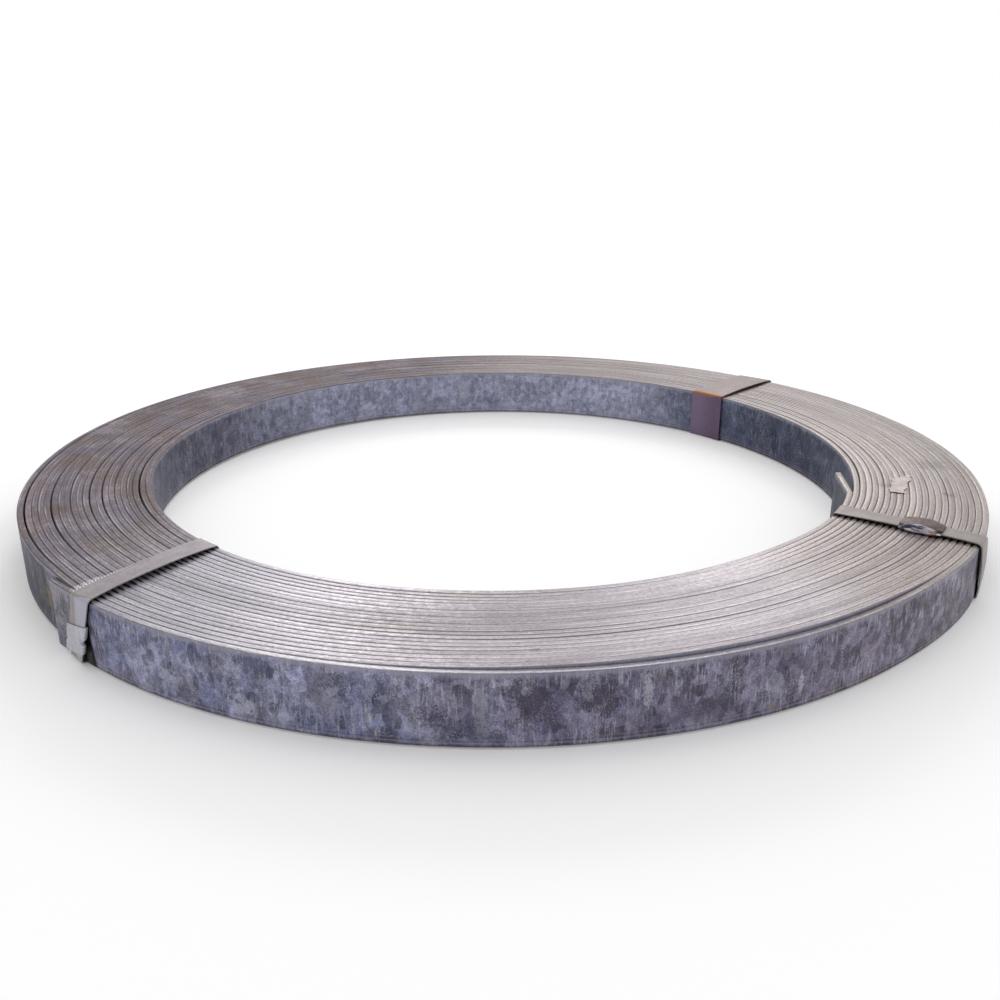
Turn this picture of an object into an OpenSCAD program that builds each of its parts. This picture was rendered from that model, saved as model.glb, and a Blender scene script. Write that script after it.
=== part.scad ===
// Coil of galvanized steel strip, held by three steel packing straps with crimped seals.
// The coil lies flat, its axis is +Z, and the floor is z = 0 at the undersides of the straps.
// Azimuths are in degrees from +X, counter-clockwise seen from above.

/* [Strip] */
// Thickness of the galvanized strip
strip_t = 4; // [2:0.5:6]
// Width of the strip, which is the height of the coil
strip_w = 40; // [25:1:80]
// Width of the groove that the rounded edges of two turns leave between them
groove_w = 1.2; // [0.4:0.1:1.6]
// Depth of that groove
groove_d = 0.8; // [0.3:0.1:2]

/* [Coil] */
// Inside diameter of the coil at the innermost turn
bore_d = 508; // [400:1:700]
// Turns that run all the way round
full_turns = 21; // [10:1:30]
// Azimuth of the cut outer end of the strip
outer_end_az = 223.5; // [200:0.5:226]
// Angle by which the innermost turn runs on past the full turns
inner_lap = 112; // [108:1:130]

/* [Inner tail] */
// Length of the straight leaf at the inner end of the strip
tail_len = 41; // [15:1:60]
// Angle by which the leaf is folded away from the wall
tail_bend = 16; // [6:1:30]
// Swelling of the strip on each side of the fold
tail_swell = 0.1; // [0.05:0.05:0.2]

/* [Straps] */
// Thickness of the steel packing straps
strap_t = 0.8; // [0.5:0.1:1.2]
// Width of the two narrow straps
narrow_w = 19; // [12:1:25]
// Width of the wide strap at the back
wide_w = 34; // [16:1:40]
// Clearance between a strap and the coil at the bore and at the ends of its top run
strap_gap = 0.2; // [0.1:0.05:0.4]
// Distance by which a slack strap's outer leg stands off the coil
strap_slack = 3; // [2:0.1:5]
// Azimuth of the left strap
left_az = 229; // [227:0.5:245]
// Azimuth of the right strap
right_az = 328; // [300:0.5:329]
// Azimuth of the back strap
back_az = 41.5; // [30:0.5:60]
// Angle of the left strap off the radius
left_skew = 8.5; // [0:0.5:10]
// Angle of the right strap off the radius
right_skew = -5; // [-6:0.5:6]
// Angle of the back strap off the radius
back_skew = 5; // [-6:0.5:6]
// Height by which the left strap's top run is arched
left_rise = 4; // [1:0.5:6]
// Height by which the right strap's top run is arched
right_rise = 2.5; // [2:0.5:6]
// Height by which the back strap's top run is arched
back_rise = 2; // [1:0.5:6]

/* [Seals] */
// Sheet thickness of the crimped seals
seal_t = 1; // [0.6:0.1:1.5]
// Clearance between a seal and its strap
seal_gap = 0.3; // [0.3:0.05:0.5]
// Width of the lips by which a seal folds under its strap
lip_w = 6; // [3:0.5:8]
// Length of the left seal along its strap
left_seal_len = 18; // [14:1:26]
// Length of the right seal along its strap
right_seal_len = 26; // [16:1:32]
// Length of the back seal along its strap
back_seal_len = 28; // [16:1:32]
// Distance of the left seal below the middle of the coil's height
left_seal_drop = 5; // [0:0.5:7]
// Distance of the right seal outwards from the middle of its strap's top run
right_seal_out = 10; // [-12:1:16]
// Radius of the crimp notches in a seal's edges
notch_r = 1.6; // [0.8:0.1:2.2]
// Height by which the right seal is domed
dome_h = 2; // [0.5:0.1:3]

/* [Hidden] */
$fn = 240;

// Levels: the coil sits on the straps' bottom runs
coil_z = strap_t;
coil_top = coil_z + strip_w;
coil_mid = coil_z + strip_w / 2;

// Radii about the front centre: inside of the innermost turn, the wall of the full turns,
// and the outside of the outermost turn
bore_r = bore_d / 2;
wall_r = bore_r + strip_t;
outer_r = wall_r + full_turns * strip_t;
mid_r = (bore_r + outer_r) / 2;
cut_extra = 1;

// Half of the sector that a strap or a seal is swept over, and how far an arched top run starts
// below its ends, so that arch and corner cross
sweep_half = 15;
arch_dip = 0.05;

// Two-centre spiral: a front and a back half ring about centres half a thickness apart, so that
// each turn runs on into the next. They meet on the line through the outer end of the strip.
split_az = outer_end_az - 180;
step = strip_t / 2;
coil_shift = [-step, step] / 2;
front_centre = coil_shift - step / 2 * [cos(split_az), sin(split_az)];

// From the spiral's own frame, with x along the split, to the part's frame, with the box centred
module place_coil() {
    translate(coil_shift)
        rotate(split_az)
            children();
}

// Half of a flat ring in the spiral's frame: side 1 is the back half, side -1 the front half
module half_ring(side, inner_r, ring_r) {
    intersection() {
        translate([side * step / 2, 0])
            difference() {
                circle(ring_r);
                circle(inner_r);
            }
        translate([-2 * outer_r, (side - 1) * outer_r])
            square([4 * outer_r, 2 * outer_r]);
    }
}

// Part of the front half ring that the innermost turn still covers
module inner_lap_ring(inner_r, ring_r) {
    intersection() {
        half_ring(-1, inner_r, ring_r);
        translate([-step / 2, 0])
            rotate(inner_lap)
                translate([-2 * outer_r, 0])
                    square([4 * outer_r, 2 * outer_r]);
    }
}

// Inner end of the strip: a fold away from the wall, then a straight leaf
module tail_plan() {
    translate([-step / 2, 0])
        rotate(180 + inner_lap)
            translate([bore_r + step, 0]) {
                circle(step + tail_swell);
                rotate(tail_bend)
                    translate([-step, 0])
                        square([strip_t, tail_len]);
            }
}

// The whole strip in plan
module coil_plan() {
    half_ring(-1, wall_r, outer_r);
    half_ring(1, wall_r - step, outer_r - step);
    inner_lap_ring(bore_r, wall_r + step);
    tail_plan();
}

// The spiral groove along the rounded edges of all the turns, in plan
module groove_plan() {
    half_w = groove_w / 2;
    inner_lap_ring(bore_r - half_w, bore_r + half_w);
    for (i = [0:full_turns]) {
        r = wall_r + i * strip_t;
        half_ring(-1, r - half_w, r + half_w);
        half_ring(1, r - step - half_w, r - step + half_w);
    }
}

module strip_coil() {
    color("lightslategray")
        place_coil()
            difference() {
                translate([0, 0, coil_z])
                    linear_extrude(strip_w)
                        coil_plan();
                for (z = [coil_z - cut_extra, coil_top - groove_d])
                    translate([0, 0, z])
                        linear_extrude(groove_d + cut_extra)
                            groove_plan();
            }
}

// Rectangle with rounded corners, from one corner point to the other
module rounded(low, high, r) {
    translate(low + [r, 0])
        square(high - low - [2 * r, 0]);
    translate(low + [0, r])
        square(high - low - [0, 2 * r]);
    for (x = [low[0] + r, high[0] - r], z = [low[1] + r, high[1] - r])
        translate([x, z])
            circle(r);
}

// Place across a strap: x along the strap outwards, y across it, from the middle of the ring's section
module along_strap(az, skew) {
    translate(front_centre)
        rotate([0, 0, az])
            translate([mid_r, 0, 0])
                rotate([0, 0, skew])
                    children();
}

// Upright slab along a strap's line
module strap_slab(az, skew, w) {
    along_strap(az, skew)
        translate([0, 0, coil_mid])
            cube([2 * (outer_r - bore_r), w, 3 * strip_w], center = true);
}

// Sector of the ring, wide enough for a strap, swept from a section in the radius and height plane
module strap_sweep(az) {
    translate(front_centre)
        rotate([0, 0, az - sweep_half])
            rotate_extrude(angle = 2 * sweep_half)
                children();
}

// Radius of a top run's arch over half its span
function arch_radius(half, rise) = (half * half + pow(rise + arch_dip, 2)) / (2 * (rise + arch_dip));

// Room under an arched top run between two walls, with the strap's thickness added or not
module arch_room(low_x, high, rise, skin) {
    arch_r = arch_radius((high[0] - low_x) / 2, rise);
    intersection() {
        translate([(low_x + high[0]) / 2, high[1] + rise - arch_r])
            circle(arch_r + skin);
        translate([low_x, high[1] - strap_t])
            square([high[0] - low_x, rise + 3 * strap_t]);
    }
}

// Closed band round the ring's section, cut to the strap's width. It is tight at the bore, stands
// off at the outer leg, and its top run is arched.
module strap_loop(az, skew, w, wall, rise) {
    low = [wall - strap_gap, coil_z];
    high = [outer_r + strap_slack, coil_top + strap_gap];
    skin = [strap_t, strap_t];
    intersection() {
        strap_sweep(az)
            difference() {
                union() {
                    rounded(low - skin, high + skin, strap_t);
                    arch_room(low[0], high, rise, strap_t);
                }
                translate(low)
                    square(high - low);
                arch_room(low[0], high, rise, 0);
            }
        strap_slab(az, skew, w);
    }
}

module strap_left() {
    color("darkgray")
        strap_loop(left_az, left_skew, narrow_w, bore_r, left_rise);
}

module strap_right() {
    color("darkgray")
        strap_loop(right_az, right_skew, narrow_w, bore_r, right_rise);
}

module strap_back() {
    color("rosybrown")
        strap_loop(back_az, back_skew, wide_w, wall_r, back_rise);
}

// Upright block along a strap's outer leg, from one radius to another
module leg_block(az, skew, low_r, high_r, z, len, w) {
    intersection() {
        strap_sweep(az)
            translate([low_r, z - len / 2])
                square([high_r - low_r, len]);
        strap_slab(az, skew, w);
    }
}

// Seal on an outer leg: a sleeve round the strap whose lips fold under its edges, with crimp notches
module leg_seal(az, skew, strap_w, len, z) {
    strap_in = outer_r + strap_slack;
    strap_out = strap_in + strap_t;
    low_r = strap_in - seal_gap - seal_t;
    way_w = strap_w + 2 * seal_gap;
    full_w = way_w + 2 * seal_t;
    difference() {
        leg_block(az, skew, low_r, strap_out + seal_gap + seal_t, z, len, full_w);
        leg_block(az, skew, strap_in - seal_gap, strap_out + seal_gap, z, 2 * len, way_w);
        leg_block(az, skew, low_r - cut_extra, strap_in, z, 2 * len, full_w - 2 * lip_w);
        along_strap(az, skew)
            for (side = [-1, 1], row = [-1, 1])
                translate([0, side * full_w / 2, z + row * len / 4])
                    rotate([0, 90, 0])
                        cylinder(r = notch_r, h = outer_r);
    }
}

// Side view of a domed seal, standing on z = 0
module dome_side(len, h) {
    dome_r = (len * len / 4 + dome_h * dome_h) / (2 * dome_h);
    intersection() {
        translate([0, h + dome_h - dome_r])
            circle(dome_r);
        translate([-len / 2, 0])
            square([len, h + dome_h]);
    }
}

// Seal on an arched top run: the same lipped sleeve, domed, and tilted with the arch
module top_seal(az, skew, strap_w, len, rise, out) {
    low_x = bore_r - strap_gap;
    high_x = outer_r + strap_slack;
    arch_r = arch_radius((high_x - low_x) / 2, rise);
    sleeve = seal_gap + seal_t;
    way_w = strap_w + 2 * seal_gap;
    full_w = way_w + 2 * seal_t;
    along_strap(az, skew)
        translate([(low_x + high_x) / 2 - mid_r, 0, coil_top + strap_gap + rise - arch_r])
            rotate([0, asin(out / arch_r), 0])
                translate([0, 0, arch_r])
                    difference() {
                        translate([0, 0, -sleeve])
                            rotate([90, 0, 0])
                                linear_extrude(full_w, center = true)
                                    dome_side(len, strap_t + 2 * sleeve);
                        translate([0, 0, strap_t / 2])
                            cube([2 * len, way_w, strap_t + 2 * seal_gap], center = true);
                        translate([0, 0, -sleeve])
                            cube([2 * len, full_w - 2 * lip_w, 2 * sleeve], center = true);
                        for (side = [-1, 1], row = [-1, 1])
                            translate([row * len / 4, side * full_w / 2, 0])
                                cylinder(r = notch_r, h = strip_w, center = true);
                    }
}

module seal_left() {
    color("silver")
        leg_seal(left_az, left_skew, narrow_w, left_seal_len, coil_mid - left_seal_drop);
}

module seal_right() {
    color("slategray")
        top_seal(right_az, right_skew, narrow_w, right_seal_len, right_rise, right_seal_out);
}

module seal_back() {
    color("silver")
        leg_seal(back_az, back_skew, wide_w, back_seal_len, coil_mid);
}

strip_coil();
strap_left();
strap_right();
strap_back();
seal_left();
seal_right();
seal_back();
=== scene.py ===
import math
import random

import bmesh
import bpy
from mathutils import Matrix, Vector, noise


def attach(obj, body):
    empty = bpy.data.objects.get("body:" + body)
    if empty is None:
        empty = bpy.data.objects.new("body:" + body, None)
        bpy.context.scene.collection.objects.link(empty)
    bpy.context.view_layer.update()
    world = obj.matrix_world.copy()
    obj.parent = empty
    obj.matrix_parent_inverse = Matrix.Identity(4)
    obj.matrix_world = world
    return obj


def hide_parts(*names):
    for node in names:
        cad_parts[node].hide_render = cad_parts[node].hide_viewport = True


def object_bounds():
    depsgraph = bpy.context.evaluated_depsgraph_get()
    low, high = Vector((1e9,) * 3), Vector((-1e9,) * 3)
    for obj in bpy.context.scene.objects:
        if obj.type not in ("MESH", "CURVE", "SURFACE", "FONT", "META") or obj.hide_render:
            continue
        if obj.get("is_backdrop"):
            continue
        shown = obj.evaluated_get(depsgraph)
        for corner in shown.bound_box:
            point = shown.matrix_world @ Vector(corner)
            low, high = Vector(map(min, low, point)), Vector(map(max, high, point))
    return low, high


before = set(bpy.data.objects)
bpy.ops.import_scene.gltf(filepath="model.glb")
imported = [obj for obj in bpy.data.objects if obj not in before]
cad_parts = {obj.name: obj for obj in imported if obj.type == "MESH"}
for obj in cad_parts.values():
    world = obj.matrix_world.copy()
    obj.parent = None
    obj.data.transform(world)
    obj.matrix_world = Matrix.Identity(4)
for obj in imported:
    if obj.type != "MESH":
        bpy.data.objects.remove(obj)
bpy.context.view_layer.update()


# The coil: one length of flat hot-dip galvanized steel strip with rounded edges, wound turn on turn
# on a mandrel. Its outer end is cut square and its inner end is folded away from the bore. Only the
# straps hold it, so turns have crept apart, the right side bulges and one turn has slipped down.
strip_thick = 0.003975
strip_width = 0.040
edge_round = 0.0006
edge_guard = 0.0007
turn_pitch = 0.004
outer_radius = 0.342
full_turns = 21
arc_steps = 120
coil_base = 0.0008
coil_top = coil_base + strip_width
coil_middle = coil_base + strip_width / 2
outer_end = math.radians(223.5)
inner_lap = math.radians(113.9)
tail_fold = math.radians(16)
tail_length = 0.041

# Half turns run about two centres half a pitch apart, so each turn runs on into the next
split = Vector((math.cos(outer_end), math.sin(outer_end), 0))
coil_axis = Vector((-0.001, 0.001, 0))
arc_centres = (coil_axis + split * turn_pitch / 4, coil_axis - split * turn_pitch / 4)
front_centre = arc_centres[0]

# Gaps between a turn and the next one inside it: turn from outside, azimuth, spread, width
crept_gaps = [
    (0, 300, 40, 0.0002), (0, 196, 46, 0.0009), (18, 190, 60, 0.0011), (12, 195, 45, 0.0007),
    (10, 185, 45, 0.0007), (14, 178, 40, 0.0006), (7, 190, 45, 0.0005), (4, 200, 40, 0.0005),
    (19, 8, 60, 0.0009), (15, 0, 55, 0.0006), (5, 345, 40, 0.0004), (11, 350, 40, 0.0004),
]
creep = random.Random(7)
for n in range(60):
    azimuth = creep.choice((creep.uniform(-25, 60), creep.uniform(140, 225)))
    turn = creep.randrange(0, full_turns - 1)
    crept_gaps.append((turn, azimuth, creep.uniform(15, 55), creep.uniform(0.0001, 0.0004)))
gap_give = 0.00006

# Where the right strap holds the turns tight, the share of a gap left there, and how far off it opens
held_azimuth, held_share, held_near, held_far = 328, 0.15, 5, 26

# Bulges of the whole ring: azimuth, spread, height
bulges = [(352, 54, 0.0044), (327, 18, 0.0021)]

# Turns that ride up, are pressed flat or hang: where that starts, is full, starts to end and ends
slip_from, slip_full, slip_last, slip_to = 248, 290, 304, 322
slip_up, slip_give = 0.0020, 0.00010
inner_from, inner_full, inner_last, inner_to = 455, 500, 545, 580
inner_up = 0.0012
end_from, end_full, end_last, end_to = -40, -10, -2, 4.5
end_up, end_drop, drop_span = 0.0013, 0.0009, 9
press_from, press_full, press_last, press_to = 252, 276, 302, 326
press_share = 0.85
lie_uneven = 0.00030
lean_uneven = 0.12


def wound_angle(turn, azimuth):
    return (math.radians(azimuth) - outer_end) % math.tau + math.tau * turn


def turns_apart(wound, at, spread):
    # Whole turns inwards from a place, and how strongly that place's change is felt there
    turns = round((wound - at) / math.tau)
    off = (wound - at - turns * math.tau) / math.radians(spread)
    return turns, math.cos(off * math.pi / 2) ** 2 if abs(off) < 1 else 0.0


def bulged(wound):
    push = 0.0
    for azimuth, spread, out in bulges:
        turns, share = turns_apart(wound, wound_angle(0, azimuth), spread)
        push += out * share
    return push


def eased(low, high, value):
    share = min(1.0, max(0.0, (value - low) / (high - low)))
    return share * share * (3 - 2 * share)


def pushed_out(wound):
    # The right strap holds its turns tight, so the gaps close towards it
    push = 0.0
    for turn, azimuth, spread, width in crept_gaps:
        turns, share = turns_apart(wound, wound_angle(turn, azimuth), spread)
        if share:
            near = max(0.0, width / 2 - gap_give * (-turns if turns <= 0 else turns - 1))
            push += share * (near if turns <= 0 else -near)
    off = abs(math.degrees((wound + outer_end) % math.tau) - held_azimuth)
    free = held_share + (1 - held_share) * eased(held_near, held_far, min(off, 360 - off))
    return bulged(wound) + push * free


def lifted(wound):
    # All turns but the outermost ride up at the front right and behind its cut end, which hangs
    # a little. The innermost one rides up at the left, and each lies a little high or low.
    turn, rest = divmod(wound, math.tau)
    azimuth = math.degrees(rest + outer_end)
    share = eased(slip_from, slip_full, azimuth) * (1 - eased(slip_last, slip_to, azimuth))
    slip = share * max(0.0, slip_up - slip_give * (turn - 1)) if turn > 0 else 0.0
    if turn == full_turns - 1:
        share = eased(inner_from, inner_full, azimuth) * (1 - eased(inner_last, inner_to, azimuth))
        slip += inner_up * share
    past_end = math.degrees((wound + math.pi) % math.tau) - 180
    if wound < math.pi:
        slip -= end_drop * (1 - eased(0, drop_span, past_end))
    else:
        rise = max(0.0, end_up - slip_give * (round(wound / math.tau) - 1))
        slip += rise * eased(end_from, end_full, past_end) * (1 - eased(end_last, end_to, past_end))
    return slip + lie_uneven * (0.7 + noise.noise(Vector((wound * 0.9, 3.1, 0))))


def pressed(wound):
    # Share of the rounding that the turns have lost at the front, where they bed tightest
    azimuth = math.degrees((wound + outer_end) % math.tau)
    return press_share * eased(press_from, press_full, azimuth) * (1 - eased(press_last, press_to, azimuth))


def leaned(wound, top):
    return lean_uneven * noise.noise(Vector((wound * 1.3, 7.7 if top else 1.9, 0)))


ring_moves = {}


def ring_move(wound):
    wound = round(max(0.0, wound), 4)
    if wound not in ring_moves:
        ring_moves[wound] = (pushed_out(wound), lifted(wound), pressed(wound),
                             leaned(wound, False), leaned(wound, True))
    return ring_moves[wound]


def strip_section():
    # Closed outline of the strip: thickness along x, width along y, corners rounded
    bm = bmesh.new()
    bmesh.ops.create_grid(bm, x_segments=1, y_segments=3, size=0.5)
    for v in bm.verts:
        high = strip_width / 2 if abs(v.co.y) > 0.3 else strip_width / 2 - edge_round - edge_guard
        v.co = (math.copysign(strip_thick / 2, v.co.x), math.copysign(high, v.co.y), 0)
    corners = [v for v in bm.verts if len(v.link_edges) == 2]
    bmesh.ops.bevel(bm, geom=corners, offset=edge_round, offset_type="OFFSET", affect="VERTICES",
                    segments=2, profile=0.5, material=-1)
    bmesh.ops.dissolve_edges(bm, edges=[e for e in bm.edges if len(e.link_faces) == 2])
    bmesh.ops.delete(bm, geom=bm.faces[:], context="FACES_ONLY")
    return bm


def fold_tail(bm, end, centre, radius, azimuth):
    # The inner end of the strip: a fold about a tight radius, then a straight leaf
    fold_radius = 0.003
    out = Vector((math.cos(azimuth), math.sin(azimuth), 0))
    pivot = centre + out * (radius - strip_thick / 2 - fold_radius)
    spun = bmesh.ops.spin(bm, geom=end, cent=pivot, axis=(0, 0, 1), angle=tail_fold, steps=4,
                          use_merge=False)
    heading = Matrix.Rotation(tail_fold, 3, "Z") @ Vector((-out.y, out.x, 0))
    bmesh.ops.spin(bm, geom=spun["geom_last"], cent=pivot, axis=(0, 0, 1), angle=0,
                   dvec=heading * tail_length / 5, steps=5, use_merge=False)


def strip_arc(centre, radius, start, angle, wound_before, run_before, tail):
    # One arc of the wound strip. The attribute "strip" keeps each point's place on the straight
    # strip: along it, through its thickness and across its width.
    bm = strip_section()
    flat = bm.verts.layers.float_vector.new("strip")
    for v in bm.verts:
        v[flat] = (0, v.co.x, v.co.y)
    place = (Matrix.Translation(centre) @ Matrix.Rotation(start, 4, "Z")
             @ Matrix.Translation((radius, 0, coil_middle)) @ Matrix.Rotation(math.pi / 2, 4, "X"))
    bmesh.ops.transform(bm, matrix=place, verts=bm.verts[:])
    spun = bmesh.ops.spin(bm, geom=bm.verts[:] + bm.edges[:], cent=centre, axis=(0, 0, 1), angle=angle,
                          steps=round(arc_steps * angle / math.pi), use_merge=False)
    if tail:
        fold_tail(bm, spun["geom_last"], centre, radius, start + angle)
    for v in bm.verts:
        out = v.co - centre
        out.z = 0
        turned = (math.atan2(out.y, out.x) - start + 0.01) % math.tau - 0.01
        through, across = v[flat].yz
        v[flat] = (run_before + radius * turned, through, across)
        push, lift, press, lean_foot, lean_top = ring_move(wound_before + min(turned, angle))
        v.co += out.normalized() * push
        v.co.z += lift + through * (lean_top if across > 0 else lean_foot)
        if across > strip_width / 2 - edge_round * 1.01:
            v.co.z += press * (strip_width / 2 - across)
    return bm


def add_piece(name, bm, slot, *nodes):
    # A finished mesh as a piece of the object, in place of the CAD nodes that it stands for
    for f in bm.faces:
        f.smooth = True
    mesh = bpy.data.meshes.new(name)
    bm.to_mesh(mesh)
    bm.free()
    piece = bpy.data.objects.new(name, mesh)
    bpy.context.scene.collection.objects.link(piece)
    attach(piece, "root")
    if nodes:
        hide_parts(*nodes)
    return piece


coil = bmesh.new()
arc_mesh = bpy.data.meshes.new("strip_arc")
run = 0.0
for half in range(2 * full_turns + 1):
    last = half == 2 * full_turns
    radius = outer_radius - turn_pitch / 2 - half * turn_pitch / 2
    angle = inner_lap if last else math.pi
    start = outer_end + math.pi * (half % 2)
    arc = strip_arc(arc_centres[half % 2], radius, start, angle, half * math.pi, run, last)
    run += radius * angle
    arc.to_mesh(arc_mesh)
    coil.from_mesh(arc_mesh)
    arc.free()
bmesh.ops.remove_doubles(coil, verts=coil.verts[:], dist=1e-6)
bmesh.ops.edgeloop_fill(coil, edges=[e for e in coil.edges if e.is_boundary])
bmesh.ops.recalc_face_normals(coil, faces=coil.faces[:])
strip_coil = add_piece("wound_strip", coil, "galvanized_strip", "strip_coil")


def node(tree, kind, sockets=(), **settings):
    made = tree.nodes.new("ShaderNode" + kind)
    for name, value in settings.items():
        setattr(made, name, value)
    for key, value in dict(sockets).items():
        if isinstance(value, bpy.types.NodeSocket):
            tree.links.new(value, made.inputs[key])
        else:
            made.inputs[key].default_value = value
    return made


def maths(tree, operation, a, b=0.0):
    return node(tree, "Math", {0: a, 1: b}, operation=operation).outputs[0]


def parts(tree, vector):
    return node(tree, "SeparateXYZ", {0: vector}).outputs


def apart(tree, value, place):
    # Distance of a value from a place
    return maths(tree, "ABSOLUTE", maths(tree, "ADD", value, -place))


def times(tree, *shares):
    product = shares[0]
    for share in shares[1:]:
        product = maths(tree, "MULTIPLY", product, share)
    return product


def ramp(tree, value, low, high, to_low=0.0, to_high=1.0):
    sockets = {"Value": value, "From Min": low, "From Max": high, "To Min": to_low, "To Max": to_high}
    return node(tree, "MapRange", sockets, interpolation_type="SMOOTHSTEP").outputs[0]


def between(tree, value, start, full, last, end):
    # Share that rises from start to full and falls from last to end
    return times(tree, ramp(tree, value, start, full), ramp(tree, value, end, last))


def cloud(tree, vector, scale, detail=2.0, roughness=0.5):
    sockets = {"Vector": vector, "Scale": scale, "Detail": detail, "Roughness": roughness}
    return node(tree, "TexNoise", sockets).outputs[0]


def stretched(tree, vector, scale, rotation=(0, 0, 0), location=(0, 0, 0)):
    sockets = {"Vector": vector, "Scale": scale, "Rotation": rotation, "Location": location}
    return node(tree, "Mapping", sockets).outputs[0]


def tint(tree, share, a, b, mode="MIX"):
    made = node(tree, "Mix", {0: share}, data_type="RGBA", blend_type=mode)
    for slot, value in ((6, a), (7, b)):
        if isinstance(value, bpy.types.NodeSocket):
            tree.links.new(value, made.inputs[slot])
        else:
            made.inputs[slot].default_value = (*value, 1)
    return made.outputs[2]


def shaded(tree, colour, value, low, high, darkest, lightest):
    # A colour made darker or lighter where a value is low or high
    return tint(tree, 1.0, colour, ramp(tree, value, low, high, darkest, lightest), "MULTIPLY")


def blot(tree, vector, ragged, centre, size, turned=0.0, inner=0.45, outer=1.25):
    # Share of a stain with ragged edges about a point
    turn = (0, 0, math.radians(turned))
    sockets = {"Vector": vector, "Location": centre, "Rotation": turn, "Scale": size}
    local = node(tree, "Mapping", sockets, vector_type="TEXTURE").outputs[0]
    away = node(tree, "VectorMath", {0: local}, operation="LENGTH").outputs["Value"]
    return ramp(tree, maths(tree, "ADD", away, ragged), outer, inner)


def finish(name, metallic):
    made = bpy.data.materials.new(name)
    made.use_nodes = True
    shader = made.node_tree.nodes["Principled BSDF"]
    shader.inputs["Metallic"].default_value = metallic
    shader.inputs["Specular IOR Level"].default_value = 0.2
    return made, made.node_tree, shader


def join(tree, shader, **sockets):
    for name, value in sockets.items():
        tree.links.new(value, shader.inputs[name.replace("_", " ")])


def bump(tree, height, distance, strength=1.0):
    sockets = {"Height": height, "Distance": distance, "Strength": strength}
    return node(tree, "Bump", sockets).outputs[0]


def slope(tree, azimuth, offset=0.0):
    # How far a place on the coil lies along a level direction
    across_way = maths(tree, "MULTIPLY", north, math.sin(math.radians(azimuth)))
    along_way = maths(tree, "MULTIPLY", east, math.cos(math.radians(azimuth)))
    return maths(tree, "ADD", maths(tree, "ADD", along_way, across_way), offset)


zinc, tree, shader = finish("galvanized_zinc", 0.45)
strip_place = node(tree, "Attribute", attribute_name="strip").outputs["Vector"]
part_place = node(tree, "TexCoord").outputs["Object"]
along, through, across = parts(tree, strip_place)
east, north = parts(tree, part_place)[:2]
depth = maths(tree, "ABSOLUTE", through)
on_edge = ramp(tree, maths(tree, "ABSOLUTE", across), 0.0193, 0.0197)

# Flats of the strip: spangle with ragged borders, blue and violet clouds, pale runs and bloom
wander = node(tree, "TexNoise", {"Vector": strip_place, "Scale": 150.0, "Detail": 5.0, "Roughness": 0.65})
wander_reach = (0.0045, 0.0045, 0.0045)
wandered = node(tree, "VectorMath", {0: wander.outputs["Color"], 1: wander_reach, 2: strip_place},
                operation="MULTIPLY_ADD").outputs[0]
tall = stretched(tree, wandered, (1.0, 1.0, 0.6))
spangle = node(tree, "TexVoronoi", {"Vector": tall, "Scale": 95.0}).outputs["Color"]
flakes = node(tree, "TexVoronoi", {"Vector": tall, "Scale": 270.0}).outputs["Color"]
shade = maths(tree, "ADD", parts(tree, spangle)[0], parts(tree, flakes)[1])
wide_cloud = cloud(tree, wandered, 27.0, 6.0, 0.68)
fine_cloud = cloud(tree, strip_place, 190.0, 6.0, 0.7)
ragged = ramp(tree, fine_cloud, 0.25, 0.75, 0.75, -0.75)
specks = cloud(tree, strip_place, 1100.0, 3.0, 0.6)
inside = ramp(tree, through, 0.0005, -0.0005)
outside = maths(tree, "SUBTRACT", 1.0, inside)
flat_colour = tint(tree, ramp(tree, along, 0.20, 0.32), (0.246, 0.250, 0.352), (0.153, 0.137, 0.200))
flat_colour = tint(tree, ramp(tree, along, 0.38, 0.50), flat_colour, (0.172, 0.146, 0.190))
flat_colour = tint(tree, ramp(tree, along, 1.2, 1.5), flat_colour, (0.030, 0.034, 0.082))
flat_colour = tint(tree, between(tree, along, 2.100, 2.114, 2.14, 2.20), flat_colour, (0.085, 0.084, 0.112))
flat_colour = tint(tree, ramp(tree, along, 0.048, 0.030), flat_colour, (0.185, 0.180, 0.215))
blue_share = times(tree, ramp(tree, along, 0.34, 0.22, 0.15, 0.64), ramp(tree, wide_cloud, 0.45, 0.57))
flat_colour = tint(tree, blue_share, flat_colour, (0.098, 0.112, 0.215))
inner_colour = tint(tree, ramp(tree, east, -0.265, -0.16), (0.066, 0.066, 0.098), (0.262, 0.270, 0.368))
inner_colour = tint(tree, ramp(tree, east, -0.02, 0.10), inner_colour, (0.310, 0.320, 0.430))
inner_colour = tint(tree, ramp(tree, east, 0.13, 0.19), inner_colour, (0.084, 0.097, 0.152))
inner_colour = tint(tree, ramp(tree, east, 0.205, 0.25), inner_colour, (0.044, 0.051, 0.086))
flat_colour = tint(tree, inside, flat_colour, inner_colour)
patchy = maths(tree, "ADD", times(tree, shade, 0.80), cloud(tree, strip_place, 75.0, 4.0, 0.6))
flat_colour = tint(tree, 1.0, flat_colour,
                   ramp(tree, patchy, 0.78, 1.82, ramp(tree, inside, 0.0, 1.0, 0.58, 0.78),
                        ramp(tree, inside, 0.0, 1.0, 1.44, 1.22)), "MULTIPLY")
violet_cell = node(tree, "TexVoronoi", {"Vector": wandered, "Scale": 68.0}).outputs["Color"]
violet_pick = maths(tree, "ADD", parts(tree, violet_cell)[2], cloud(tree, strip_place, 40.0, 4.0, 0.6))
violet = ramp(tree, violet_pick, 0.76, 0.58, 0.0, 0.45)
flat_colour = tint(tree, times(tree, violet, outside), flat_colour, (0.066, 0.054, 0.082))
pale_flake = ramp(tree, parts(tree, flakes)[0], 0.86, 0.90, 0.0, 0.45)
flat_colour = tint(tree, times(tree, pale_flake, outside), flat_colour, (0.300, 0.295, 0.365))
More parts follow.
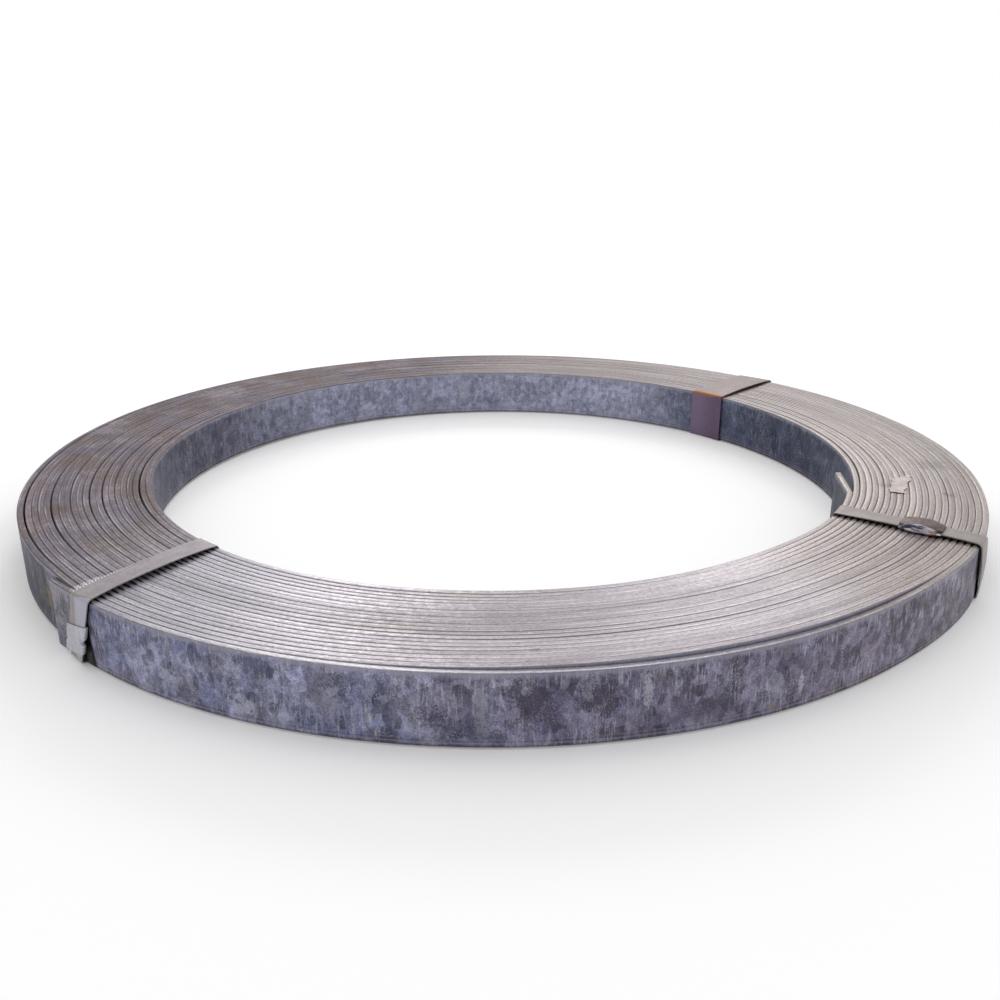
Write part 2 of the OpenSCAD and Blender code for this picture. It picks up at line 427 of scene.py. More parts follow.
flat_colour = shaded(tree, flat_colour, fine_cloud, 0.32, 0.68, 0.74, 1.30)
runs = cloud(tree, stretched(tree, strip_place, (1.0, 1.0, 0.16)), 560.0, 4.0, 0.65)
run_zone = ramp(tree, maths(tree, "ADD", cloud(tree, strip_place, 34.0, 2.0),
                            ramp(tree, across, 0.0, 0.018, -0.03, 0.10)), 0.38, 0.60)
second_turn_runs = ramp(tree, inside, 0.0, 1.0, 0.45, 1.0)
run_zone = times(tree, run_zone, ramp(tree, along, 1.2, 1.5, 1.0, second_turn_runs))
flat_colour = tint(tree, times(tree, ramp(tree, runs, 0.50, 0.72), run_zone,
                               ramp(tree, inside, 0.0, 1.0, 0.85, 0.4)), flat_colour, (0.44, 0.44, 0.52))
flat_colour = tint(tree, ramp(tree, runs, 0.44, 0.26, 0.0, 0.55), flat_colour, (0.060, 0.056, 0.090))
scratches = cloud(tree, stretched(tree, strip_place, (1.0, 1.0, 0.09)), 1100.0, 3.0, 0.6)
scratched = times(tree, ramp(tree, scratches, 0.59, 0.66), run_zone, outside, 0.42)
flat_colour = tint(tree, scratched, flat_colour, (0.50, 0.50, 0.58))
pale_bloom = cloud(tree, stretched(tree, wandered, (1.0, 1.0, 0.35)), 85.0, 4.0, 0.6)
bloom_side = times(tree, ramp(tree, east, 0.19, 0.12), ramp(tree, east, -0.25, -0.12, 0.15, 0.5))
inner_bloom = times(tree, ramp(tree, pale_bloom, 0.53, 0.66), inside, bloom_side)
flat_colour = tint(tree, inner_bloom, flat_colour, (0.37, 0.375, 0.45))
bloom_zone = ramp(tree, cloud(tree, strip_place, 58.0, 3.0), 0.44, 0.64)
speckled = times(tree, ramp(tree, specks, 0.50, 0.70), bloom_zone, 0.6)
flat_colour = tint(tree, speckled, flat_colour, (0.46, 0.46, 0.53))
flat_colour = shaded(tree, flat_colour, cloud(tree, strip_place, 1700.0, 2.0), 0.3, 0.7, 0.75, 1.25)
grain = ramp(tree, specks, 0.38, 0.60, 0.25, 1.0)

# Patches of the flats: place on the strip, size, share, colour
for place, size, share, colour in [
    ((0.295, 0.0019, 0.0020), (0.0120, 0.05, 0.0110), 0.8, (0.056, 0.042, 0.064)),
    ((0.327, 0.0019, 0.0040), (0.0075, 0.05, 0.0095), 0.8, (0.060, 0.045, 0.068)),
    ((0.247, 0.0019, -0.0050), (0.0100, 0.05, 0.0070), 0.8, (0.056, 0.044, 0.072)),
    ((0.223, 0.0019, 0.0110), (0.0060, 0.05, 0.0080), 0.7, (0.064, 0.066, 0.130)),
    ((0.157, 0.0019, 0.0125), (0.0100, 0.05, 0.0060), 0.7, (0.085, 0.095, 0.190)),
    ((0.375, 0.0019, -0.0080), (0.0140, 0.05, 0.0050), 0.6, (0.070, 0.058, 0.084)),
    ((0.348, 0.0019, 0.0062), (0.0024, 0.05, 0.0110), 0.75, (0.420, 0.410, 0.470)),
    ((0.355, 0.0019, 0.0125), (0.0045, 0.05, 0.0060), 0.35, (0.175, 0.135, 0.140)),
    ((0.433, 0.0019, -0.0062), (0.0018, 0.05, 0.0060), 0.90, (0.480, 0.460, 0.520)),
    ((0.270, 0.0019, -0.0060), (0.0040, 0.05, 0.0200), 0.60, (0.270, 0.270, 0.325)),
    ((0.423, 0.0019, 0.0147), (0.0060, 0.05, 0.0045), 0.50, (0.230, 0.215, 0.250)),
    ((0.416, 0.0019, -0.0161), (0.0035, 0.05, 0.0030), 0.60, (0.250, 0.215, 0.130)),
    ((0.150, 0.0019, -0.0105), (0.0050, 0.05, 0.0060), 0.8, (0.440, 0.440, 0.520)),
    ((0.172, 0.0019, -0.0130), (0.0040, 0.05, 0.0040), 0.8, (0.420, 0.420, 0.500)),
    ((0.104, 0.0019, -0.0060), (0.0060, 0.05, 0.0070), 0.7, (0.400, 0.400, 0.480)),
    ((0.195, 0.0019, -0.0040), (0.0090, 0.05, 0.0080), 0.6, (0.270, 0.265, 0.330)),
    ((2.1010, 0.0, -0.0020), (0.0090, 0.05, 0.0080), 0.70, (0.190, 0.165, 0.120)),
    ((2.1130, 0.0, 0.0000), (0.0040, 0.05, 0.0055), 1.00, (0.340, 0.180, 0.085)),
    ((0.0035, 0.0, 0.0130), (0.0060, 0.05, 0.0070), 0.80, (0.340, 0.275, 0.280)),
]:
    share = times(tree, blot(tree, strip_place, ragged, place, size, 0.0, 0.75, 1.05), share, grain)
    flat_colour = tint(tree, share, flat_colour, colour)
bare_turn = between(tree, along, 1.2, 1.5, 2.106, 2.118)
flat_colour = shaded(tree, flat_colour, bare_turn, 0.0, 1.0, 1.0, 0.5)
# Painted shade: the folded inner end is made darker, as it lies in shadow
flat_colour = shaded(tree, flat_colour, along, run - 0.012, run + 0.002, 1.0, 0.55)
rim = ramp(tree, maths(tree, "ADD", across, times(tree, ragged, 0.002)), 0.0162, 0.0192)
flat_colour = tint(tree, times(tree, rim, 0.65), flat_colour, (0.33, 0.32, 0.39))
bared = times(tree, ramp(tree, across, 0.0165, 0.0178), outside, ramp(tree, along, 2.15, 2.25, 0.0, 0.85),
              ramp(tree, along, 3.0, 2.9))
flat_colour = tint(tree, times(tree, bared, grain), flat_colour, (0.310, 0.315, 0.410))
foot_line = ramp(tree, across, -0.0184, -0.0195, 0.0, 0.8)
flat_colour = tint(tree, foot_line, flat_colour, (0.07, 0.045, 0.055))
for height, width, share, colour in [(-0.0176, 0.0005, 0.45, (0.30, 0.29, 0.35)),
                                     (-0.0166, 0.0003, 0.40, (0.09, 0.08, 0.11)),
                                     (-0.0155, 0.0004, 0.30, (0.28, 0.27, 0.33))]:
    line = ramp(tree, apart(tree, across, height), width, width / 2)
    flat_colour = tint(tree, times(tree, line, share), flat_colour, colour)

# Rounded edges: pale zinc, beige at the right, under a brown film from the left strap round to the back.
# The tones by place are partly painted light: a bright band at the front left is painted highlight, the
# front centre and the back are darker as painted shade, and the film is partly painted shade.
# The film is partly the zinc's own brown and partly painted shade, with a sharp edge along the left strap
film_at = maths(tree, "ADD", slope(tree, 160), times(tree, ragged, 0.03))
film_and_shade = ramp(tree, film_at, 0.02, 0.21)
film_and_shade = times(tree, film_and_shade, maths(tree, "MAXIMUM", ramp(tree, slope(tree, 327.5, 0.0441), 0.008, -0.004),
                              ramp(tree, north, -0.03, 0.02)))
# Painted shade: the front centre of the edges is made dimmer
front_ragged = times(tree, ragged, 0.4)
front_centre_shade = blot(tree, part_place, front_ragged, (0.055, -0.30, coil_top), (0.15, 0.09, 0.1))
# The bright band at the front left is a painted highlight
edge_colour = tint(tree, ramp(tree, east, -0.17, -0.07), (0.350, 0.330, 0.375), (0.580, 0.540, 0.580))
edge_colour = tint(tree, ramp(tree, east, -0.03, 0.08), edge_colour, (0.425, 0.385, 0.410))
edge_colour = tint(tree, ramp(tree, east, 0.09, 0.24), edge_colour, (0.328, 0.281, 0.264))
edge_colour = tint(tree, front_centre_shade, edge_colour, (0.300, 0.267, 0.290))
# Darker and browner towards the back, partly the zinc's own tone and partly painted shade
edge_colour = tint(tree, ramp(tree, north, -0.02, 0.20, 0.0, 0.9), edge_colour, (0.248, 0.206, 0.199))
edge_colour = shaded(tree, edge_colour, slope(tree, 35), 0.20, 0.30, 1.0, 0.84)
# Painted highlight along the outermost turn's top edge at the front
outer_rim_highlight = times(tree, between(tree, along, 0.06, 0.12, 0.36, 0.46), 0.5)
edge_colour = tint(tree, outer_rim_highlight, edge_colour, (0.62, 0.60, 0.655))
grime = cloud(tree, part_place, 34.0, 5.0, 0.65)
hue_place = stretched(tree, part_place, (1.0, 1.0, 1.0), location=(0.7, 0.2, 0.0))
grime_hue = cloud(tree, hue_place, 26.0, 4.0, 0.6)
film_and_shade_colour = tint(tree, ramp(tree, grime_hue, 0.36, 0.62), (0.150, 0.106, 0.098), (0.150, 0.126, 0.160))
film_and_shade_colour = tint(tree, ramp(tree, grime, 0.50, 0.72, 0.0, 0.8), film_and_shade_colour, (0.275, 0.226, 0.245))
film_and_shade_colour = shaded(tree, film_and_shade_colour, grime, 0.28, 0.46, 0.66, 1.0)
film_and_shade_colour = shaded(tree, film_and_shade_colour, north, 0.02, 0.24, 1.0, 0.90)
edge_colour = tint(tree, film_and_shade, edge_colour, film_and_shade_colour)
turn_shade = cloud(tree, stretched(tree, strip_place, (2.1, 0.0, 0.0)), 1.0, 4.0, 0.6)
edge_colour = shaded(tree, edge_colour, turn_shade, 0.3, 0.7, 0.76, 1.22)
dashes = cloud(tree, stretched(tree, strip_place, (0.3, 1.0, 1.0)), 1300.0, 3.0, 0.65)
edge_colour = shaded(tree, edge_colour, dashes, 0.3, 0.7, 0.72, 1.28)
# A bright line along one side of each ridge, partly a burr and partly painted highlight, strongest towards
# the front left
burr_and_highlight_noise = cloud(tree, stretched(tree, strip_place, (0.10, 1.0, 1.0)), 240.0, 4.0, 0.7)
burr_and_highlight_most = ramp(tree, slope(tree, 220), 0.20, 0.30, 0.6, 0.95)
burr_and_highlight = times(tree, ramp(tree, apart(tree, through, 0.0010), 0.0007, 0.0001),
             ramp(tree, burr_and_highlight_noise, 0.40, 0.66, 0.0, burr_and_highlight_most))
edge_colour = tint(tree, burr_and_highlight, edge_colour, tint(tree, film_and_shade, (0.66, 0.64, 0.68), (0.42, 0.39, 0.42)))
dirt = ramp(tree, cloud(tree, strip_place, 330.0, 4.0, 0.7), 0.35, 0.65, 0.15, 0.9)
dirt = times(tree, dirt, ramp(tree, depth, ramp(tree, film_and_shade, 0.0, 1.0, 0.0014, 0.0012), 0.0018),
             ramp(tree, front_centre_shade, 0.0, 1.0, 1.0, 0.35))
dirt_colour = tint(tree, film_and_shade, (0.200, 0.165, 0.158), (0.058, 0.042, 0.042))
edge_colour = tint(tree, dirt, edge_colour, dirt_colour)
# Painted glints: bright specks on the ridges, most towards the front left
glint_spots = ramp(tree, cloud(tree, part_place, 700.0, 3.0, 0.7), 0.60, 0.70)
glints = times(tree, glint_spots, ramp(tree, grime, 0.40, 0.60),
               ramp(tree, slope(tree, 220), 0.05, 0.25, 0.15, 0.9))
edge_colour = tint(tree, glints, edge_colour, (0.62, 0.60, 0.65))
dot_spots = ramp(tree, cloud(tree, strip_place, 520.0, 2.0), 0.66, 0.74)
dots = times(tree, dot_spots, ramp(tree, depth, 0.0004, 0.0015), 0.85)
edge_colour = tint(tree, dots, edge_colour, (0.085, 0.060, 0.050))

# Stains on the turns: place on the coil, size, turn, colour
for place, size, turned, colour in [
    ((-0.142, 0.274), (0.016, 0.010), 27, (0.29, 0.25, 0.29)),
    ((-0.3225, 0.054), (0.009, 0.015), 80, (0.29, 0.25, 0.29)),
    ((-0.2595, 0.1795), (0.024, 0.019), 42, (0.31, 0.26, 0.31)),
    ((-0.266, 0.0976), (0.012, 0.009), 70, (0.12, 0.070, 0.045)),
    ((-0.2727, 0.154), (0.010, 0.008), 60, (0.11, 0.085, 0.075)),
    ((-0.213, 0.244), (0.009, 0.006), 41, (0.13, 0.080, 0.050)),
    ((0.318, -0.040), (0.013, 0.012), 0, (0.130, 0.110, 0.097)),
    ((0.3035, -0.1043), (0.004, 0.006), 70, (0.075, 0.060, 0.050)),
    ((0.269, -0.0844), (0.005, 0.008), 70, (0.090, 0.075, 0.065)),
    ((-0.0487, -0.2963), (0.021, 0.0016), -9, (0.36, 0.290, 0.210)),
    ((-0.018, -0.261), (0.012, 0.0030), -4, (0.42, 0.330, 0.260)),
    ((0.0176, -0.3212), (0.002, 0.0015), 0, (0.14, 0.080, 0.050)),
    ((-0.174, -0.2435), (0.0030, 0.0012), 145, (0.36, 0.235, 0.160)),
    ((-0.1657, -0.279), (0.003, 0.0015), 150, (0.66, 0.640, 0.660)),
    ((0.0594, 0.3147), (0.010, 0.005), -10, (0.20, 0.140, 0.105)),
]:
    stain = blot(tree, part_place, ragged, (*place, coil_top), (*size, 0.02), turned)
    edge_colour = tint(tree, times(tree, stain, grain, 0.8), edge_colour, colour)

zinc_grain = maths(tree, "ADD", times(tree, specks, 0.35), fine_cloud)
join(tree, shader, Base_Color=tint(tree, on_edge, flat_colour, edge_colour),
     Roughness=ramp(tree, on_edge, 0.0, 1.0, 0.50, ramp(tree, film_and_shade, 0.0, 1.0, 0.38, 0.62)),
     Normal=bump(tree, zinc_grain, 0.0004, 0.6))
strip_coil.data.materials.append(zinc)


# The packing straps: three bands of plain steel, two narrow and one wide, drawn round the coil's section
# and closed by crimped sleeves. They have gone slack, so their tops arch over the turns and their
# outer legs stand off the outermost turn.
band_thick = 0.0008
band_bend = 0.0012
band_gap = 0.0002
band_round = 0.00012
middle_radius = 0.298

# Angles in degrees, lengths in metres. An edge pair gives the side that stands up and the share of the
# gap at the other side.
straps = {
    "left": dict(azimuth=228.8, skew=8.5, width=0.0182, wall=0.254, shift=0.0, foot_aside=-0.0150,
                 top_edge=(1, 0.55), rise=0.0020, over_inner=0.0006, over_outer=0.0013,
                 leg_edge=(1, 0.08), off_top=0.0012, off_foot=0.0020, belly=0.0, off_bore=0.0),
    "right": dict(azimuth=328, skew=-5, width=0.019, wall=0.2548, shift=0.0040, foot_aside=0.0165,
                  top_edge=(-1, 0.08), rise=0.0008, over_inner=0.0010, over_outer=0.0012,
                  leg_edge=(1, 0.95), off_top=0.0015, off_foot=0.0012, belly=0.0010, off_bore=0.0),
    "back": dict(azimuth=41.5, skew=5, width=0.034, wall=0.258, shift=0.0, foot_aside=0.0,
                 top_edge=(-1, 0.08), rise=0.0012, over_inner=0.0006, over_outer=0.0008,
                 leg_edge=(-1, 0.08), off_top=0.0028, off_foot=0.0030, belly=0.0, off_bore=0.0010),
}


def strap_frame(strap):
    # Along a strap outwards is x, across it is y
    return (Matrix.Translation(front_centre) @ Matrix.Rotation(math.radians(strap["azimuth"]), 4, "Z")
            @ Matrix.Translation((middle_radius, 0, 0))
            @ Matrix.Rotation(math.radians(strap["skew"]), 4, "Z"))


def reach(strap, radius):
    # Where a circle about the coil's axis crosses the strap's middle line
    skew = math.radians(strap["skew"])
    return (math.sqrt(radius ** 2 - (middle_radius * math.sin(skew)) ** 2)
            - middle_radius * math.cos(skew) + strap["shift"])


def edge_share(strap, run, y):
    # From the edge that lies nearer the coil to the edge that stands up
    side, least = strap[run]
    return least + (1 - least) * min(1.0, max(0.0, 0.5 + side * y / strap["width"]))


def stand_off(strap, y, z):
    # Gap between the outer leg and the coil
    share = (z - coil_base) / strip_width
    off = (strap["off_foot"] + (strap["off_top"] - strap["off_foot"]) * share
           + strap["belly"] * (1 - (2 * share - 1) ** 2))
    return band_gap + off * edge_share(strap, "leg_edge", y)


def arched(strap, x, y):
    # Gap between the top run and the turns
    inner, outer = reach(strap, strap["wall"]), reach(strap, outer_radius)
    share = min(1.0, max(0.0, (x - inner) / (outer - inner)))
    over = (strap["over_inner"] + (strap["over_outer"] - strap["over_inner"]) * share
            + strap["rise"] * (1 - abs(2 * share - 1) ** 2.4))
    return band_gap + over * edge_share(strap, "top_edge", y)


def aside(strap, x, z):
    # How far the strap's foot has been drawn along the coil
    inner, outer = reach(strap, strap["wall"]), reach(strap, outer_radius)
    return strap["foot_aside"] * (1 - (z - coil_base) / strip_width) * (x - inner) / (outer - inner)


def wrap_round(bm, strap):
    # Bend what was made straight across the strap round the coil's axis, then put it in place
    skew = math.radians(strap["skew"])
    axis_x, axis_y = strap["shift"] - middle_radius * math.cos(skew), middle_radius * math.sin(skew)
    for v in bm.verts:
        round_2 = (v.co.x - axis_x) ** 2 + axis_y ** 2
        v.co.x = axis_x + math.sqrt(round_2 - (v.co.y - axis_y) ** 2)
    bmesh.ops.transform(bm, matrix=strap_frame(strap), verts=bm.verts[:])
    bmesh.ops.recalc_face_normals(bm, faces=bm.faces[:])


def thicken(piece, thick, offset, round_edge):
    wall = piece.modifiers.new("wall", "SOLIDIFY")
    wall.thickness, wall.offset, wall.use_even_offset = thick, offset, True
    rounding = piece.modifiers.new("rounding", "BEVEL")
    rounding.width, rounding.segments, rounding.limit_method = round_edge, 2, "ANGLE"
    rounding.angle_limit = math.radians(50)


def make_strap(side, slot):
    strap = straps[side]
    inner, outer = reach(strap, strap["wall"]) - band_gap, reach(strap, outer_radius)
    bm = bmesh.new()
    bmesh.ops.create_grid(bm, x_segments=1, y_segments=1, size=0.5)
    for v in bm.verts:
        z = coil_top if v.co.y > 0 else coil_base
        v.co = (outer if v.co.x > 0 else inner, -strap["width"] / 2, z)
    bmesh.ops.bevel(bm, geom=bm.verts[:], offset=band_bend, offset_type="OFFSET", affect="VERTICES",
                    segments=4, profile=0.5, material=-1)
    bmesh.ops.delete(bm, geom=bm.faces[:], context="FACES_ONLY")
    runs = [e for e in bm.edges if e.calc_length() > 0.01]
    bmesh.ops.subdivide_edges(bm, edges=runs, cuts=24)
    bmesh.ops.spin(bm, geom=bm.verts[:] + bm.edges[:], cent=(0, 0, 0), axis=(0, 1, 0), angle=0,
                   dvec=(0, strap["width"] / 12, 0), steps=12, use_merge=False)
    for v in bm.verts:
        x, y, z = v.co
        top = min(1.0, max(0.0, (z - coil_top + band_bend) / band_bend))
        leg = min(1.0, max(0.0, (x - outer + band_bend) / band_bend))
        bore = min(1.0, max(0.0, (inner + band_bend - x) / band_bend))
        off_bore = strap["off_bore"] * edge_share(strap, "leg_edge", y)
        v.co = (x + leg * stand_off(strap, y, z) - bore * off_bore, y + aside(strap, x, z),
                z + top * arched(strap, x, y))
    wrap_round(bm, strap)
    piece = add_piece("strap_band_" + side, bm, slot, "strap_" + side)
    thicken(piece, band_thick, 1, band_round)
    return piece


left_band = make_strap("left", "strap_steel")
right_band = make_strap("right", "strap_steel")
back_band = make_strap("back", "wide_strap_steel")


def strap_coordinates(tree, strap):
    # Object coordinates turned to run along a strap from its middle
    back = strap_frame(strap).inverted()
    place = node(tree, "TexCoord").outputs["Object"]
    return stretched(tree, place, (1, 1, 1), tuple(back.to_euler()), tuple(back.translation))


def rolled_steel(name, strap, dull, bright):
    # Cold-rolled band: fine lines along its length, dull patches and scuffs
    made, tree, shader = finish(name, 0.5)
    place = strap_coordinates(tree, strap)
    rolled = cloud(tree, stretched(tree, place, (0.03, 1.0, 0.03)), 2600.0, 3.0, 0.6)
    worn = cloud(tree, place, 70.0, 5.0, 0.65)
    colour = tint(tree, ramp(tree, worn, 0.3, 0.7), dull, bright)
    colour = shaded(tree, colour, rolled, 0.3, 0.7, 0.85, 1.15)
    colour = shaded(tree, colour, cloud(tree, place, 900.0, 3.0), 0.3, 0.7, 0.88, 1.12)
    shader.inputs["Roughness"].default_value = 0.48
    join(tree, shader, Base_Color=colour, Normal=bump(tree, rolled, 0.0002, 0.3))
    return made, tree, shader, place, colour


# Painted shadow in the grooves along the standing edge of the narrow straps, and on the wall beside the
# left leg and under the right leg
tree, shader = zinc.node_tree, zinc.node_tree.nodes["Principled BSDF"]
zinc_colour = shader.inputs["Base Color"].links[0].from_socket
on_top_edge = ramp(tree, across, 0.0193, 0.0197)
for side in ("left", "right"):
    strap = straps[side]
    way_out, way_across = parts(tree, strap_coordinates(tree, strap))[:2]
    past_edge = maths(tree, "ADD", times(tree, way_across, strap["top_edge"][0]), -strap["width"] / 2)
    # Painted shadow, near black, in the grooves under the strap's lifted edge
    strap_shadow = times(tree, ramp(tree, past_edge, 0.0034, 0.0004), ramp(tree, past_edge, -0.014, -0.010),
                  ramp(tree, depth, 0.0007, 0.0015), on_top_edge,
                  ramp(tree, maths(tree, "ABSOLUTE", way_out), 0.075, 0.065))
    zinc_colour = tint(tree, strap_shadow, zinc_colour, (0.012, 0.010, 0.012))
# Painted shadow wedges on the wall beside the left leg and under the right leg
edge_drift = maths(tree, "ADD", ramp(tree, across, 0.002, -0.020, 0.0, -0.0027),
                   ramp(tree, across, 0.006, 0.0205, 0.0, -0.0048))
left_leg_shadow = maths(tree, "ADD", maths(tree, "ADD", along, times(tree, ragged, 0.0004)), edge_drift)
left_leg_shadow = between(tree, left_leg_shadow, 0.0290, 0.0300, 0.0408, 0.0416)
right_leg_shadow = maths(tree, "ADD", along, times(tree, across, 0.41))
right_leg_shadow = between(tree, right_leg_shadow, 0.6150, 0.6164, 0.632, 0.633)
for leg_shadow in (left_leg_shadow, right_leg_shadow):
    zinc_colour = tint(tree, times(tree, leg_shadow, outside), zinc_colour, (0.003, 0.003, 0.003))
flaked = blot(tree, strip_place, ragged, (0.0365, 0.0019, -0.0150), (0.0040, 0.05, 0.0070),
              inner=0.75, outer=1.05)
zinc_colour = tint(tree, times(tree, flaked, grain), zinc_colour, (0.070, 0.070, 0.060))

# A row of painted glints on the turns' ridges just behind the left strap's back edge
way_out, way_across = parts(tree, strap_coordinates(tree, straps["left"]))[:2]
ridge_glint_period = 0.00080
tick = maths(tree, "SINE", times(tree, slope(tree, 23.7), math.tau / ridge_glint_period))
ridge_glints = times(tree, ramp(tree, tick, -0.2, 0.5), on_top_edge,
                between(tree, way_across, -0.0165, -0.0150, -0.0100, -0.0090),
                between(tree, way_out, 0.019, 0.024, 0.037, 0.042))
zinc_colour = tint(tree, times(tree, ridge_glints, 0.8), zinc_colour, (0.80, 0.79, 0.83))
join(tree, shader, Base_Color=zinc_colour)

# The left strap's outer leg is a paler blue grey than its top, and along its back edge a row of bright and
# dark ticks is painted glints and painted shade
made, tree, shader, place, colour = rolled_steel(
    "left_strap_steel", straps["left"], (0.27, 0.24, 0.255), (0.34, 0.31, 0.33))
way_out, way_across = parts(tree, place)[:2]
outer_bend = reach(straps["left"], outer_radius)
leg_share = ramp(tree, way_out, outer_bend, outer_bend + 0.0012, 0.0, 0.85)
colour = tint(tree, leg_share, colour, (0.46, 0.455, 0.53))
on_top = ramp(tree, way_out, outer_bend, outer_bend - 0.001)
edge_glint_band = times(tree, ramp(tree, way_across, -0.0072, -0.0088), ramp(tree, way_out, 0.006, 0.016), on_top)
edge_glint_period = 0.0020
tick = maths(tree, "SINE", times(tree, way_out, math.tau / edge_glint_period))
colour = tint(tree, times(tree, edge_glint_band, ramp(tree, tick, 0.0, 0.6)), colour, (0.90, 0.88, 0.92))
colour = tint(tree, times(tree, edge_glint_band, ramp(tree, tick, 0.0, -0.6, 0.0, 0.5)), colour, (0.12, 0.11, 0.13))
bend_tone = ramp(tree, apart(tree, way_out, outer_bend), 0.0026, 0.0010, 0.0, 0.5)
colour = tint(tree, times(tree, bend_tone, on_top), colour, (0.43, 0.375, 0.300))
join(tree, shader, Base_Color=colour)
left_band.data.materials.append(made)

# The right strap's outer leg is painted black on the side towards the coil, a painted shadow in the gap
# between leg and coil
made, tree, shader, place, colour = rolled_steel(
    "right_strap_steel", straps["right"], (0.255, 0.22, 0.215), (0.33, 0.29, 0.285))
leg_azimuth = math.radians(325)
leg_normal = (math.cos(leg_azimuth), math.sin(leg_azimuth), 0)
facing = node(tree, "VectorMath", {0: node(tree, "NewGeometry").outputs["Normal"], 1: leg_normal},
              operation="DOT_PRODUCT").outputs["Value"]
way_out = parts(tree, place)[0]
colour = tint(tree, times(tree, ramp(tree, facing, -0.3, -0.6), ramp(tree, way_out, 0.02, 0.03)), colour,
              (0.006, 0.006, 0.007))
join(tree, shader, Base_Color=colour)
right_band.data.materials.append(made)

# The wide strap's inner leg has a violet cast and is darker along one edge, a painted shade; it has rust
# specks, and a rusted line at the inner bend
made, tree, shader, place, colour = rolled_steel(
    "wide_strap_steel", straps["back"], (0.178, 0.138, 0.136), (0.230, 0.184, 0.181))
inner_bend = reach(straps["back"], straps["back"]["wall"])
way_out, way_across, way_up = parts(tree, place)
leg = ramp(tree, way_out, inner_bend + 0.004, inner_bend + 0.001)
leg_shade_side = ramp(tree, way_across, -0.012, 0.012)
leg_colour = tint(tree, leg_shade_side, (0.135, 0.095, 0.150), (0.190, 0.143, 0.225))
colour = tint(tree, leg, colour, leg_colour)
leg_rust = times(tree, leg, ramp(tree, cloud(tree, place, 420.0, 3.0), 0.64, 0.72, 0.0, 0.7))
colour = tint(tree, leg_rust, colour, (0.115, 0.050, 0.050))
rust_line = times(tree, ramp(tree, apart(tree, way_out, inner_bend), 0.0034, 0.0012),
                  ramp(tree, maths(tree, "ADD", way_up, -coil_top), -0.0022, -0.0004),
                  ramp(tree, cloud(tree, place, 300.0, 4.0), 0.3, 0.5, 0.4, 1.0))
colour = tint(tree, rust_line, colour, (0.36, 0.150, 0.045))
join(tree, shader, Base_Color=colour)
back_band.data.materials.append(made)


# The seals: sleeves of sheet steel closed round the two ends of each strap and crimped with a tool that
# notches their edges. Left and back they sit on the outer leg. The right one is on top, domed and torn.
sleeve_thick = 0.0007
sleeve_round = 0.0001
seal_lip = 0.006
seal_depth = 0.0026
seal_proud = 0.0009


def make_sleeve(width, depth, length, steps):
    # An open C across y, swept along x, with its back towards z
    bm = bmesh.new()
    bmesh.ops.create_grid(bm, x_segments=1, y_segments=1, size=0.5)
    for v in bm.verts:
        v.co = (-length / 2, v.co.x * width, (v.co.y - 0.5) * depth)
    bmesh.ops.bevel(bm, geom=bm.verts[:], offset=depth * 0.4, offset_type="OFFSET", affect="VERTICES",
                    segments=3, profile=0.5, material=-1)
    bmesh.ops.delete(bm, geom=bm.faces[:], context="FACES_ONLY")
    back = [e for e in bm.edges if all(v.co.z > -1e-6 for v in e.verts)]
    bmesh.ops.subdivide_edges(bm, edges=back, cuts=9)
    lips = [e for e in bm.edges if all(v.co.z < 1e-6 - depth for v in e.verts)]
    cut = bmesh.ops.subdivide_edges(bm, edges=lips, cuts=6)["geom_inner"]
    spare = [v for v in cut if isinstance(v, bmesh.types.BMVert) and abs(v.co.y) < width / 2 - seal_lip]
    bmesh.ops.delete(bm, geom=spare, context="VERTS")
    bmesh.ops.spin(bm, geom=bm.verts[:] + bm.edges[:], cent=(0, 0, 0), axis=(1, 0, 0), angle=0,
                   dvec=(length / steps, 0, 0), steps=steps, use_merge=False)
    return bm


def crimp(bm, side, at, deep, spread, width):
    # A notch that the tool bites into one edge of a sleeve
    for v in bm.verts:
        bite = max(0.0, 1 - abs(v.co.x - at) / spread) * max(0.0, 2 * side * v.co.y / width - 0.45) / 0.55
        v.co.y -= side * deep * bite
        v.co.z -= 0.0005 * bite


def put_on_leg(bm, strap, z, proud, slant):
    # Stand a sleeve up on a strap's outer leg
    upright = Matrix.Rotation(math.pi, 4, "Z") @ Matrix.Rotation(-math.pi / 2, 4, "Y")
    bmesh.ops.transform(bm, matrix=upright, verts=bm.verts[:])
    outer = reach(strap, outer_radius)
    for v in bm.verts:
        x, y, height = v.co.x, v.co.y, v.co.z + z + v.co.y * slant
        v.co = (x + outer + band_thick + proud + stand_off(strap, y, height),
                y + aside(strap, outer, height), height)
    wrap_round(bm, strap)


left_seal_width, left_seal_length, left_seal_height = 0.0216, 0.018, 0.0145
left_seal = make_sleeve(left_seal_width, seal_depth, left_seal_length, 24)
crimp(left_seal, -1, -0.0012, 0.0034, 0.0020, left_seal_width)
crimp(left_seal, 1, -0.0012, 0.0006, 0.0020, left_seal_width)
put_on_leg(left_seal, straps["left"], left_seal_height, seal_proud, 0.22)
left_sleeve = add_piece("seal_sleeve_left", left_seal, "seal_steel", "seal_left")
thicken(left_sleeve, sleeve_thick, -1, sleeve_round)
steel = rolled_steel("left_seal_steel", straps["left"], (0.47, 0.465, 0.52), (0.55, 0.545, 0.60))
left_sleeve.data.materials.append(steel[0])

back_seal_width, back_seal_length, back_seal_height = 0.0372, 0.028, 0.0208
back_seal = make_sleeve(back_seal_width, seal_depth, back_seal_length, 28)
for at in (-0.007, 0.007):
    for side in (-1, 1):
        crimp(back_seal, side, at, 0.0026, 0.0028, back_seal_width)
put_on_leg(back_seal, straps["back"], back_seal_height, seal_proud, 0.0)
back_sleeve = add_piece("seal_sleeve_back", back_seal, "seal_steel", "seal_back")
thicken(back_sleeve, sleeve_thick, -1, sleeve_round)
steel = rolled_steel("back_seal_steel", straps["back"], (0.30, 0.29, 0.30), (0.38, 0.37, 0.38))
back_sleeve.data.materials.append(steel[0])

